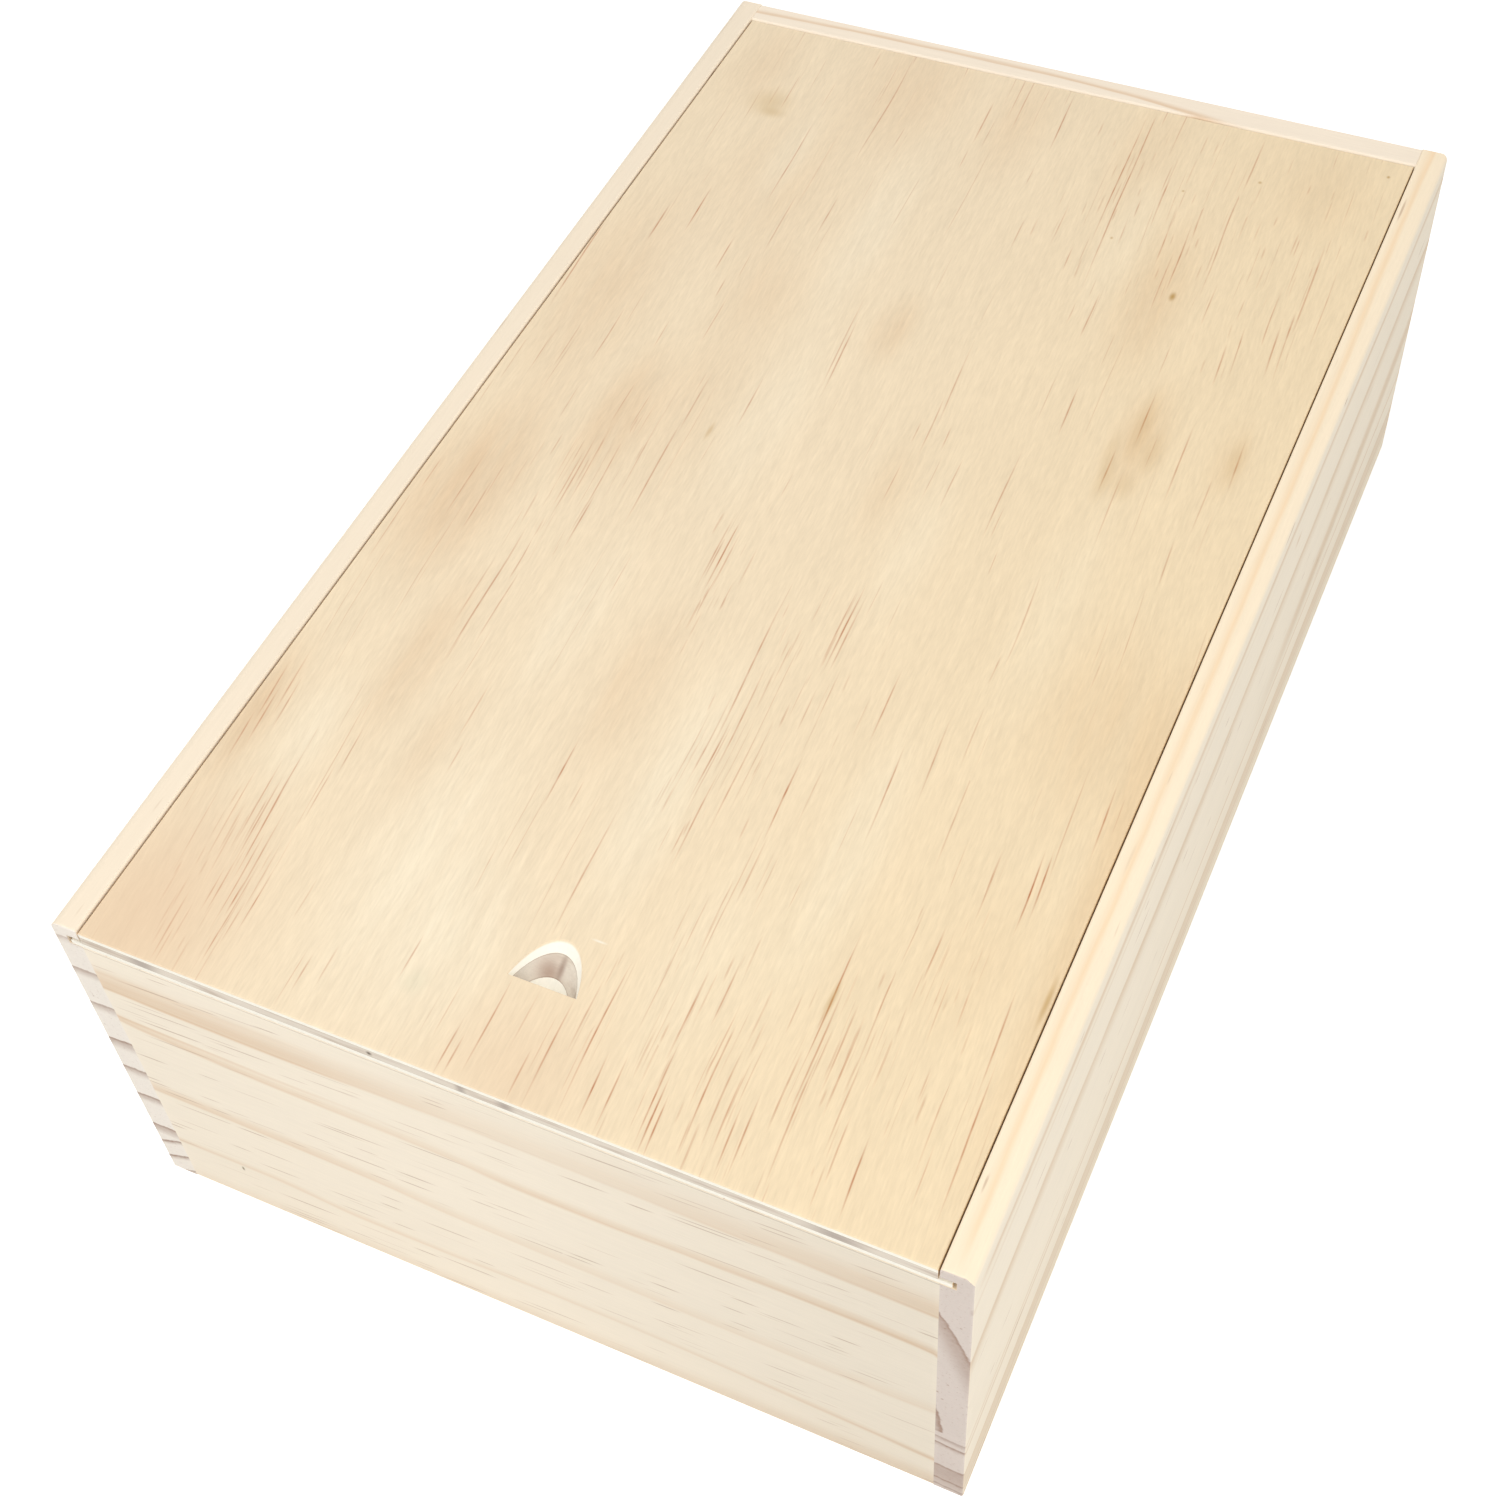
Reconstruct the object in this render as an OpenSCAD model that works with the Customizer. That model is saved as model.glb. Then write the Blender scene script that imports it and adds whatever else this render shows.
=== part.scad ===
// Long shallow wooden box with a plywood lid that slides out over the lower front board.
// Millimetres. The origin is the middle of the underside, the lid slides out towards -Y,
// and +Z is up. The two side boards run the full length; the front and back boards stand
// between them, and the base is let in flush between all four.

/* [Box] */
// Outer width, across the two side boards
box_w = 210; // [120:1:320]
// Outer length, from the front board's face to the back board's face
box_l = 355; // [160:1:520]
// Height of the side boards
box_h = 109; // [40:1:220]

/* [Boards] */
// Thickness of the two side boards
side_t = 7; // [5:0.1:16]
// Thickness of the front and back boards
end_t = 7.5; // [5:0.1:16]
// Height of the glued joint in the left side board, above the underside
left_joint_z = 17.5; // [8:0.5:95]
// Height of the glued joint in the right side board, above the underside
right_joint_z = 31.5; // [8:0.5:95]
// How far the back board's top lies below the tops of the sides
back_drop = 0.3; // [0:0.1:2]
// Radius of the rounded outer top edge of each side board
top_edge_r = 2.5; // [0.5:0.1:4]
// Radius of the eased inner top edge of the back board
back_edge_r = 0.8; // [0.3:0.1:2]
// Radius of the sanded edges that are only just eased
eased_r = 0.5; // [0.2:0.1:1]

/* [Lid groove] */
// Height of the wood above the groove
lip_h = 3.2; // [2:0.1:8]
// Depth of the groove into the side and back boards
groove_depth = 3.4; // [2:0.1:4.5]
// Free height in the groove above the lid's tongue
gap_over_tongue = 1.2; // [0.2:0.1:3]
// Free height in the groove below the lid's tongue
gap_under_tongue = 0.2; // [0.1:0.05:1]
// Free width between the tongue's tips and the bottom of the groove
gap_tongue_tip = 0.85; // [0.3:0.05:1.5]

/* [Plywood] */
// Thickness of the show veneer: the lid's upper ply and the base's upper ply
face_ply_t = 1.4; // [0.6:0.1:3]
// Thickness of the cross-banded core
core_ply_t = 2.5; // [1:0.1:6]
// Thickness of the back veneer: the lid's lower ply, which is also its tongue
back_ply_t = 1.5; // [0.8:0.1:4]

/* [Lid] */
// Gap between the lid's upper plies and the lip on each side
gap_lid_side = 0.4; // [0.2:0.05:2]
// Gap between the lid's upper plies and the back board
gap_lid_rear = 0.3; // [0.1:0.05:2]
// Gap between the lid's underside and the front board's top
gap_lid_front = 0.3; // [0.1:0.05:2]
// Radius of the lid's eased edges
lid_eased_r = 0.3; // [0.1:0.05:0.5]

/* [Thumb notch] */
// Distance from the lid's front edge to the notch's straight edge
notch_setback = 26.5; // [8:0.5:80]
// Length of the notch along the lid
notch_l = 12.2; // [10.5:0.1:30]
// Diameter of the round cutter that leaves the notch's sloping floor
notch_cutter_d = 17.2; // [12:0.1:40]
// Wood left under the notch's deepest point
notch_floor_t = 0.4; // [0.2:0.05:2]

/* [Hidden] */
$fn = 64;

// Cutters reach this far past the face that they cut
over = 1;

// Clear width and the inner faces of the end boards
inner_w = box_w - 2 * side_t;
front_y = -box_l / 2;
back_y = box_l / 2;
front_inner_y = front_y + end_t;
back_inner_y = back_y - end_t;

// Heights of the groove, the lid's layers and the front board
ply_t = face_ply_t + core_ply_t + back_ply_t;
groove_h = gap_under_tongue + back_ply_t + gap_over_tongue;
groove_z = box_h - lip_h - groove_h;
lid_z = groove_z + gap_under_tongue;
lid_core_z = lid_z + back_ply_t;
lid_face_z = lid_core_z + core_ply_t;
lid_top_z = lid_z + ply_t;
front_top_z = lid_z - gap_lid_front;

// Plan sizes of the lid: its upper plies fit between the lips, its tongue fits the grooves
lid_w = inner_w - 2 * gap_lid_side;
lid_rear_y = back_inner_y - gap_lid_rear;
tongue_reach = groove_depth - gap_tongue_tip;
tongue_w = inner_w + 2 * tongue_reach;
tongue_rear_y = back_inner_y + tongue_reach;
groove_end_y = back_inner_y + groove_depth;

// The notch's cutter is tilted so that its deepest point leaves notch_floor_t of wood
notch_depth = ply_t - notch_floor_t;
notch_tilt = asin(2 * notch_depth / notch_l) / 2;
notch_apex_y = front_y + notch_setback + notch_l;

// Heights of the base's layers
base_core_z = back_ply_t;
base_face_z = back_ply_t + core_ply_t;

// ---- Shared shapes ----

// What a rounding takes off a square corner at the origin, the material being at +X +Y
module corner_waste(r) {
  difference() {
    translate([-over, -over]) square(r + over);
    translate([r, r]) circle(r);
  }
}

// The same waste along an edge of length len, centred, running along Z
module edge_waste(len, r) {
  translate([0, 0, -len / 2 - over]) linear_extrude(len + 2 * over) corner_waste(r);
}

// Edge waste that runs along X; the material is at sy in Y and at sz in Z
module edge_waste_x(len, r, sy, sz) {
  flip_y = sy > 0 ? 0 : 1;
  flip_z = sz > 0 ? 0 : 1;
  mirror([0, flip_y, 0]) mirror([0, 0, flip_z])
    rotate([90, 0, 90]) edge_waste(len, r);
}

// Edge waste that runs along Y; the material is at sx in X and at sz in Z
module edge_waste_y(len, r, sx, sz) {
  flip_x = sx > 0 ? 0 : 1;
  flip_z = sz > 0 ? 0 : 1;
  mirror([flip_x, 0, 0]) mirror([0, 0, flip_z])
    rotate([90, 0, 0]) mirror([0, 0, 1]) edge_waste(len, r);
}

// ---- Side boards ----

// Cross-section of a side board between two heights: X runs inwards from the outer face
module side_section(z0, z1) {
  intersection() {
    difference() {
      square([side_t, box_h]);
      translate([0, box_h]) mirror([0, 1]) corner_waste(top_edge_r);
      translate([side_t, box_h]) mirror([1, 0]) mirror([0, 1]) corner_waste(eased_r);
      corner_waste(eased_r);
    }
    translate([0, z0]) square([side_t, z1 - z0]);
  }
}

// One glued stave of the left side board, with the lid's groove where it has one
module side_stave(z0, z1) {
  difference() {
    translate([-box_w / 2, back_y, 0])
      rotate([90, 0, 0]) linear_extrude(box_l) side_section(z0, z1);
    translate([-box_w / 2 + side_t - groove_depth, front_y - over, groove_z])
      cube([groove_depth + over, groove_end_y - front_y + over, groove_h]);
    for (end = [-1, 1]) {
      translate([-box_w / 2, end * box_l / 2, box_h / 2])
        mirror([0, end > 0 ? 1 : 0, 0]) edge_waste(box_h, eased_r);
      translate([-box_w / 2, end * box_l / 2, box_h])
        edge_waste_x(2 * side_t, eased_r, -end, -1);
    }
  }
}

module left_side_upper_board() {
  color("#ead9b4") side_stave(left_joint_z, box_h);
}

module left_side_lower_board() {
  color("#e4d1aa") side_stave(0, left_joint_z);
}

module right_side_upper_board() {
  color("#ead9b4") mirror([1, 0, 0]) side_stave(right_joint_z, box_h);
}

module right_side_lower_board() {
  color("#e4d1aa") mirror([1, 0, 0]) side_stave(0, right_joint_z);
}

// ---- End boards ----

// A board between the sides, from y0 to y1 and up to height top_z
module end_board(y0, y1, top_z) {
  translate([-inner_w / 2, y0, 0]) cube([inner_w, y1 - y0, top_z]);
}

// Low enough for the lid to pass over it
module front_board() {
  color("#ecd6ae") difference() {
    end_board(front_y, front_inner_y, front_top_z);
    translate([0, front_y, 0]) edge_waste_x(inner_w, eased_r, 1, 1);
    translate([0, front_y, front_top_z]) edge_waste_x(inner_w, lid_eased_r, 1, -1);
    translate([0, front_inner_y, front_top_z]) edge_waste_x(inner_w, lid_eased_r, -1, -1);
  }
}

// Full height, with the groove that takes the tongue's rear end
module back_board() {
  back_top_z = box_h - back_drop;
  color("#e2c79b") difference() {
    end_board(back_inner_y, back_y, back_top_z);
    translate([-inner_w / 2 - over, back_inner_y - over, groove_z])
      cube([inner_w + 2 * over, groove_depth + over, groove_h]);
    translate([0, back_inner_y, back_top_z]) edge_waste_x(inner_w, back_edge_r, 1, -1);
    translate([0, back_y, back_top_z]) edge_waste_x(inner_w, eased_r, -1, -1);
    translate([0, back_y, 0]) edge_waste_x(inner_w, eased_r, -1, 1);
  }
}

// ---- Base: three plies let in flush between the boards ----

module base_ply(z0, t) {
  translate([-inner_w / 2, front_inner_y, z0])
    cube([inner_w, back_inner_y - front_inner_y, t]);
}

module base_top_ply() {
  color("#e9c68f") base_ply(base_face_z, face_ply_t);
}

module base_core_ply() {
  color("#a8927a") base_ply(base_core_z, core_ply_t);
}

module base_bottom_ply() {
  color("#efdcb6") base_ply(0, back_ply_t);
}

// ---- Lid: three plies, the lowest one wider, as the tongue ----

// Round cutter whose lowest line starts at the notch's apex on the lid's face and runs down
// towards the front, and whose flat end leaves the notch's straight edge
module notch_cutter() {
  reach = notch_l * cos(notch_tilt);
  r = notch_cutter_d / 2;
  translate([0, notch_apex_y, lid_top_z])
    rotate([90 + notch_tilt, 0, 0])
      translate([0, r, -notch_cutter_d]) cylinder(h = reach + notch_cutter_d, r = r);
}

// A ply of width w from the front edge to rear_y, between heights z0 and z0 + t
module lid_ply(w, rear_y, z0, t) {
  translate([-w / 2, front_y, z0]) cube([w, rear_y - front_y, t]);
}

module lid_top_ply() {
  mid_y = (front_y + lid_rear_y) / 2;
  color("#e0ad6b") difference() {
    lid_ply(lid_w, lid_rear_y, lid_face_z, face_ply_t);
    notch_cutter();
    translate([0, front_y, lid_top_z]) edge_waste_x(lid_w, lid_eased_r, 1, -1);
    translate([0, lid_rear_y, lid_top_z]) edge_waste_x(lid_w, lid_eased_r, -1, -1);
    for (side = [-1, 1])
      translate([side * lid_w / 2, mid_y, lid_top_z])
        edge_waste_y(lid_rear_y - front_y, lid_eased_r, -side, -1);
  }
}

module lid_core_ply() {
  color("#a8927a") difference() {
    lid_ply(lid_w, lid_rear_y, lid_core_z, core_ply_t);
    notch_cutter();
  }
}

module lid_bottom_ply() {
  mid_y = (front_y + tongue_rear_y) / 2;
  color("#efdcb6") difference() {
    lid_ply(tongue_w, tongue_rear_y, lid_z, back_ply_t);
    notch_cutter();
    for (side = [-1, 1], top = [0, 1])
      translate([side * tongue_w / 2, mid_y, lid_z + top * back_ply_t])
        edge_waste_y(tongue_rear_y - front_y, lid_eased_r, -side, top > 0 ? -1 : 1);
  }
}

left_side_upper_board();
left_side_lower_board();
right_side_upper_board();
right_side_lower_board();
front_board();
back_board();
base_top_ply();
base_core_ply();
base_bottom_ply();
lid_top_ply();
lid_core_ply();
lid_bottom_ply();
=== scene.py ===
import math

import bpy
from mathutils import Matrix, Vector


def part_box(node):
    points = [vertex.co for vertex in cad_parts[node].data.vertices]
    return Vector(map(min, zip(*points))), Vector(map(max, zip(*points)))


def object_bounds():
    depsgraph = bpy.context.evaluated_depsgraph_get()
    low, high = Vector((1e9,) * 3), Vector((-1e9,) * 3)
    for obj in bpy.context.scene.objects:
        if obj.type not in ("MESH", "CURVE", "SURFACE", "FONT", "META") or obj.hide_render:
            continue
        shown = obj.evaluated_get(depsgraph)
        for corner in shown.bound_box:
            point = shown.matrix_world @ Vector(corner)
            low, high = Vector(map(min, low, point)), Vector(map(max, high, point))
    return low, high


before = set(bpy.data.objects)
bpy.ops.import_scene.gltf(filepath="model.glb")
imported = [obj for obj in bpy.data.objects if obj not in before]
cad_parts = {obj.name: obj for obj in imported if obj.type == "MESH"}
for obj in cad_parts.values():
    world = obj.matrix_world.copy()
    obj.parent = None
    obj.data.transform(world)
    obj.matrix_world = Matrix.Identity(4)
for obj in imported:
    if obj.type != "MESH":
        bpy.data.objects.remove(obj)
cad_low, cad_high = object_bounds()

# A long shallow pine box with a plywood lid that slides out towards -Y. Lengths are in
# millimetres, unless a comment says metres, in the frame of the box: X across it, Y towards its
# back board, Z up, with the origin at the middle of its underside. "Down" is measured from the
# top of the side boards.

MM = 0.001


def low(node):
    """The lowest corner of a CAD node."""
    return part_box(node)[0] / MM


def high(node):
    """The highest corner of a CAD node."""
    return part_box(node)[1] / MM


TOP = cad_high.z / MM
RIGHT = cad_high.x / MM
FRONT = cad_low.y / MM

# How far the paler wear and painted highlight reach in from an edge
EDGE_WEAR_AND_HIGHLIGHT = 1.4

# How strongly sanded wood reflects
SHEEN = 0.25

# How many lumps or cells lie between the patterns of neighbouring seeds, along X, Y and Z
NOISE_SHIFT = (7.3, 3.1, 5.7)
TUBE_SHIFT = (3.7, 1.9, 4.3)


def rgb(red, green, blue):
    """A colour from 0 to 255 as the eye reads it, in the linear values that shaders take."""
    shares = (red / 255, green / 255, blue / 255)
    linear = [s / 12.92 if s <= 0.04045 else ((s + 0.055) / 1.055) ** 2.4 for s in shares]
    return (*linear, 1.0)


# ---- Formulas that become shader nodes ----


class Field:
    """A value that varies over a surface: sums and products of fields become nodes."""

    def __init__(self, graph, socket):
        self.graph = graph
        self.socket = socket

    def __add__(self, other):
        return self.graph.math("ADD", self, other)

    def __sub__(self, other):
        return self.graph.math("SUBTRACT", self, other)

    def __rsub__(self, other):
        return self.graph.math("SUBTRACT", other, self)

    def __mul__(self, other):
        return self.graph.math("MULTIPLY", self, other)

    def __abs__(self):
        return self.graph.math("ABSOLUTE", self)


class Graph:
    """One material and its nodes, with a method for each kind of pattern."""

    def __init__(self, name):
        self.material = bpy.data.materials.new(name)
        self.material.use_nodes = True
        self.tree = self.material.node_tree
        self.tree.nodes.clear()
        self.coordinates = self.node("TexCoord")

    def node(self, kind, inputs=None, **settings):
        """Adds a node, with its inputs by name or number, and its settings."""
        made = self.tree.nodes.new("ShaderNode" + kind)
        for name, value in settings.items():
            setattr(made, name, value)
        for name, value in (inputs or {}).items():
            self.put(made.inputs[name], value)
        return made

    def put(self, socket, value):
        """Links a field to a socket, or sets the value of the socket itself."""
        if isinstance(value, Field):
            self.tree.links.new(value.socket, socket)
        elif isinstance(value, tuple):
            socket.default_value = value[:len(socket.default_value)]
        else:
            socket.default_value = value

    def math(self, operation, *values):
        """The field that one operation makes of fields and numbers."""
        made = self.node("Math", dict(enumerate(values)), operation=operation)
        return Field(self, made.outputs[0])

    def vectors(self, operation, *values, scale=1.0):
        """The same for vectors. A length or a dot product is a number, all else a vector."""
        made = self.node("VectorMath", dict(enumerate(values)), operation=operation)
        if operation == "SCALE":
            self.put(made.inputs["Scale"], scale)
        out = "Value" if operation in ("LENGTH", "DOT_PRODUCT") else "Vector"
        return Field(self, made.outputs[out])

    def place(self):
        """Where the surface is, in millimetres."""
        metres = Field(self, self.coordinates.outputs["Object"])
        return self.vectors("SCALE", metres, scale=1 / MM)

    def parts(self, vector):
        """The X, Y and Z of a vector, as three fields."""
        made = self.node("SeparateXYZ", {0: vector})
        return [Field(self, made.outputs[i]) for i in range(3)]

    def vector(self, x, y, z):
        """The vector with these parts."""
        made = self.node("CombineXYZ", {0: x, 1: y, 2: z})
        return Field(self, made.outputs[0])

    def step(self, value, start, end, height=1.0):
        """A smooth step from 0 at start to height at end."""
        made = self.node(
            "MapRange",
            {"Value": value, "From Min": start, "From Max": end, "To Max": height},
            interpolation_type="SMOOTHSTEP",
        )
        return Field(self, made.outputs[0])

    def curve(self, value, points):
        """A smooth curve through (value, result) points, level beyond its ends."""
        first, last = points[0][0], points[-1][0]
        results = [result for _, result in points]
        base = min(results)
        span = max(results) - base or 1.0
        made = self.node("FloatCurve")
        knots = made.mapping.curves[0].points
        spots = [((at - first) / (last - first), (result - base) / span) for at, result in points]
        knots[0].location = spots[0]
        knots[1].location = spots[-1]
        for spot in spots[1:-1]:
            knots.new(*spot)
        made.mapping.update()
        share = self.node("MapRange", {"Value": value, "From Min": first, "From Max": last})
        self.tree.links.new(share.outputs[0], made.inputs["Value"])
        return Field(self, made.outputs[0]) * span + base

    def noise(self, place, size, seed, detail=2.0):
        """Noise from about -1 to 1, in lumps of this size along X, Y and Z."""
        shares = tuple(1 / s for s in size)
        offset = tuple(seed * shift for shift in NOISE_SHIFT)
        where = self.vectors("MULTIPLY_ADD", place, shares, offset)
        made = self.node("TexNoise", {"Vector": where, "Scale": 1.0, "Detail": detail})
        return (Field(self, made.outputs[0]) - 0.5) * 3.0

    def spot(self, place, centre, radii, strength=1.0):
        """A soft spot in plan, with its strength at its centre and 0 from its rim outwards."""
        shares = (1 / radii[0], 1 / radii[1], 0.0)
        offset = (-centre[0] / radii[0], -centre[1] / radii[1], 0.0)
        away = self.vectors("LENGTH", self.vectors("MULTIPLY_ADD", place, shares, offset))
        return self.step(away, 1.0, 0.0, strength)

    def tubes(self, place, cell, radius, length, share, seed):
        """Short tubes along Y of place, one in a cell at most: dashes on a face, dots on end
        grain. share is the part of the cells that hold one. A cell with no depth makes lines
        on a sheet."""
        flat = len(cell) == 2
        offset = tuple(seed * shift for shift in TUBE_SHIFT)
        size = (*cell, 1.0) if flat else cell
        where = self.vectors("MULTIPLY_ADD", place, tuple(1 / c for c in size), offset)
        kind = "2D" if flat else "3D"
        cells = self.node("TexVoronoi", {"Vector": where, "Scale": 1.0}, voronoi_dimensions=kind)
        nearest = Field(self, cells.outputs["Position"])
        apart = self.parts(self.vectors("SUBTRACT", where, nearest))
        chance, stretch, depth = self.parts(Field(self, cells.outputs["Color"]))
        across = abs(apart[0]) * cell[0]
        if not flat:
            across = self.vectors("LENGTH", self.vector(across, apart[2] * cell[2], 0.0))
        along = abs(apart[1]) * cell[1]
        # Each is 28 to 100% of the length, 60 to 130% of the radius and 30 to 100% as strong.
        half = stretch * stretch * (length * 0.36) + length * 0.14
        wide = depth * (radius * 0.7) + radius * 0.6
        body = self.step(across, wide, wide * 0.35)
        ends = self.step(along, half, half * 0.2)
        held = self.step(share - chance, 0.0, 0.05)
        return body * ends * held * (depth * 0.7 + 0.3)

    def mix(self, first, second, share):
        """From the first colour, where share is 0, to the second, where it is 1."""
        made = self.node("Mix", {0: share, 6: first, 7: second}, data_type="RGBA")
        return Field(self, made.outputs[2])

    def tone(self, colour, factor):
        """The colour made lighter or darker by a factor."""
        return self.vectors("SCALE", colour, scale=factor)

    def top(self):
        """1 where the surface faces up, less on rounded edges, and 0 on upright faces."""
        normal = Field(self, self.coordinates.outputs["Normal"])
        return self.step(self.vectors("DOT_PRODUCT", normal, (0.0, 0.0, 1.0)), 0.1, 0.7)

    def facing(self, axis):
        """1 where the surface faces along the axis, either way, and 0 where it runs along it."""
        normal = Field(self, self.coordinates.outputs["Normal"])
        return self.step(abs(self.vectors("DOT_PRODUCT", normal, axis)), 0.45, 0.9)

    def wear_and_highlight(self, node):
        """1 on the edges of a CAD node's box, falling to 0 within EDGE_WEAR_AND_HIGHLIGHT of them."""
        # Near an edge, the second smallest of the three distances to the box's faces is small.
        lowest, highest = low(node), high(node)
        middle, half = (lowest + highest) / 2, (highest - lowest) / 2
        sides = self.parts(self.vectors("SUBTRACT", self.place(), tuple(middle)))
        gaps = [size - abs(side) for size, side in zip(half, sides)]
        nearer = self.math("MINIMUM", gaps[0], gaps[1])
        farther = self.math("MAXIMUM", gaps[0], gaps[1])
        second = self.math("MAXIMUM", nearer, self.math("MINIMUM", farther, gaps[2]))
        return self.step(second, EDGE_WEAR_AND_HIGHLIGHT, 0.0)

    def surface(self, colour, roughness, height, relief):
        """Ends the material: a matt sanded surface with this colour and relief in mm."""
        bump = self.node("Bump", {"Height": height, "Strength": 1.0, "Distance": relief * MM})
        shader = self.node(
            "BsdfPrincipled",
            {
                "Base Color": colour,
                "Roughness": roughness,
                "Normal": Field(self, bump.outputs[0]),
                "Specular IOR Level": SHEEN,
            },
        )
        out = self.node("OutputMaterial")
        self.tree.links.new(shader.outputs[0], out.inputs["Surface"])
        return self.material


# ---- Pine boards ----

LINE_BROWN = rgb(152, 104, 66)
SPECK_OLIVE = rgb(112, 92, 48)
LENGTHWAYS, CROSSWAYS = (0.0, 1.0, 0.0), (1.0, 0.0, 0.0)

# A ring's late wood is a broad band that darkens towards its growth line, and the dark line
# itself, which is LINE_WIDTH wide and stops within LINE_SOFTNESS.
BAND_SHARE, LINE_SHARE = 0.62, 0.38
LINE_WIDTH = 1.3
LINE_SOFTNESS = 0.25

# How much lighter or darker a board gets from place to place, and how much paler near its edges from
# wear and a painted highlight
BOARD_CLOUD, BOARD_STREAK, BOARD_FIBRE, BOARD_WEAR_AND_HIGHLIGHT = 0.02, 0.017, 0.022, 0.02
BOARD_ROUGHNESS = 0.62
BOARD_RELIEF = 0.035

# The share of cells that hold a resin line, on boards where it is the same all over
FEW_LINES, SOME_LINES = 0.1, 0.16

# How far the resin lines slope for each millimetre along the grain
LENGTHWAYS_SLOPE, CROSSWAYS_SLOPE = 0.05, 0.06


class Wood:
    """A board's colours: early and late wood on its faces, on its top and on end grain."""

    def __init__(self, early, late, top, top_late, end_early, end_late):
        self.early = early
        self.late = late
        self.top = top
        self.top_late = top_late
        self.end_early = end_early
        self.end_late = end_late

    def colour(self, g, ring, top, end):
        """From early wood where ring is 0 to late wood where it is 1."""
        early = g.mix(g.mix(self.early, self.top, top), self.end_early, end)
        late = g.mix(g.mix(self.late, self.top_late, top), self.end_late, end)
        return g.mix(early, late, ring)


LEFT_WOOD = Wood(
    early=rgb(246, 234, 215), late=rgb(235, 217, 193),
    top=rgb(248, 232, 208), top_late=rgb(238, 214, 182),
    end_early=rgb(243, 234, 222), end_late=rgb(168, 139, 121),
)
RIGHT_WOOD = Wood(
    early=rgb(246, 234, 213), late=rgb(224, 199, 168),
    top=rgb(253, 235, 206), top_late=rgb(248, 219, 180),
    end_early=rgb(218, 205, 195), end_late=rgb(166, 137, 120),
)
FRONT_WOOD = Wood(
    early=rgb(247, 235, 215), late=rgb(223, 191, 155),
    top=rgb(247, 234, 213), top_late=rgb(230, 204, 172),
    end_early=rgb(243, 234, 222), end_late=rgb(168, 141, 124),
)
BACK_WOOD = Wood(
    early=rgb(246, 234, 216), late=rgb(221, 193, 158),
    top=rgb(251, 236, 215), top_late=rgb(233, 205, 174),
    end_early=rgb(243, 234, 222), end_late=rgb(168, 141, 124),
)


def late_wood(g, distance, rings, fray, softness=LINE_SOFTNESS):
    """0 in early wood, rising over each ring's band to its strength at the growth line, where
    it stops. A ring is (where its line is, its band, its strength), and distance grows away
    from the pith."""
    total = 0.0
    for line, band, strength in rings:
        inside = line - distance + fray
        rise = g.step(inside, band, band * 0.15, BAND_SHARE)
        near = g.step(inside, LINE_WIDTH, 0.2, LINE_SHARE)
        total = (rise + near) * g.step(inside, -softness, softness) * strength + total
    return total


def resin_lines(g, fibres, grain, share, top, seed):
    """Dark resin lines: through the wood of a board cut lengthways, and drawn on the upright
    faces of one cut crossways."""
    across, along, up = g.parts(fibres)
    if grain is CROSSWAYS:
        rows = g.vector(up - along * CROSSWAYS_SLOPE, along, 0.0)
        return g.tubes(rows, (1.5, 22.0), 0.25, 26.0, share, seed) * (1.0 - top)
    leaned = g.vector(across, along, up - along * LENGTHWAYS_SLOPE)
    return g.tubes(leaned, (1.1, 15.0, 1.4), 0.36, 15.0, share, seed)


def end_dirt(g, place, fibres, seed):
    """Pores and grime, for end grain."""
    pores = g.tubes(fibres, (0.8, 30.0, 0.8), 0.2, 28.0, 0.4, seed + 8.0)
    grime = g.step(g.noise(place, (0.9, 0.9, 0.7), seed + 9.0, 1.0), 0.25, 1.0)
    return pores * 0.3 + grime * 0.16


def pine(name, node, grain, growth, seed, wood, canal_share, marks=None, darker=None):
    """A sanded pine board. grain is the axis that the fibres run along, growth gives the late
    wood from the place, and canal_share how many dark resin lines there are: a number, or a
    field from the place. marks and darker, where given, add specks and painted shade."""
    g = Graph(name)
    place = g.place()
    x, y, z = g.parts(place)
    fibres = g.vector(y, x, z) if grain is CROSSWAYS else place
    fray = g.noise(fibres, (2.2, 30.0, 2.2), seed + 1.0, 2.0) * 0.4
    warp = g.noise(fibres, (45.0, 130.0, 45.0), seed + 2.0, 1.0) * 2.6
    cloud = g.noise(fibres, (13.0, 75.0, 16.0), seed + 3.0, 1.0)
    streak = g.noise(fibres, (1.1, 48.0, 1.1), seed + 4.0, 2.0)
    fibre = g.noise(fibres, (0.45, 8.0, 0.45), seed + 5.0, 1.0)
    ring = growth(g, x, y, z, fray, warp) * (streak * 0.22 + 0.95)
    end = g.facing(grain)
    top = g.top()
    shade = cloud * BOARD_CLOUD + streak * BOARD_STREAK + fibre * BOARD_FIBRE
    # Paler wear and a painted highlight near the edges
    shade = shade + g.wear_and_highlight(node) * BOARD_WEAR_AND_HIGHLIGHT + 1.0
    # darker, where given, adds painted shade
    if darker:
        shade = shade + darker(g, x, y, z)
    colour = g.tone(wood.colour(g, ring, top, end), shade)
    share = canal_share(g, x, y, z) if callable(canal_share) else canal_share
    lines = resin_lines(g, fibres, grain, share, top, seed + 6.0)
    dirt = end_dirt(g, place, fibres, seed) * end
    colour = g.mix(colour, LINE_BROWN, lines * 0.5 + dirt)
    if marks:
        colour = g.mix(colour, SPECK_OLIVE, marks(g, x, y, z))
    roughness = fibre * 0.05 + ring * -0.08 + BOARD_ROUGHNESS
    height = fibre * 0.35 + streak * 0.25
    return g.surface(colour, roughness, height, BOARD_RELIEF)


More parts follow.
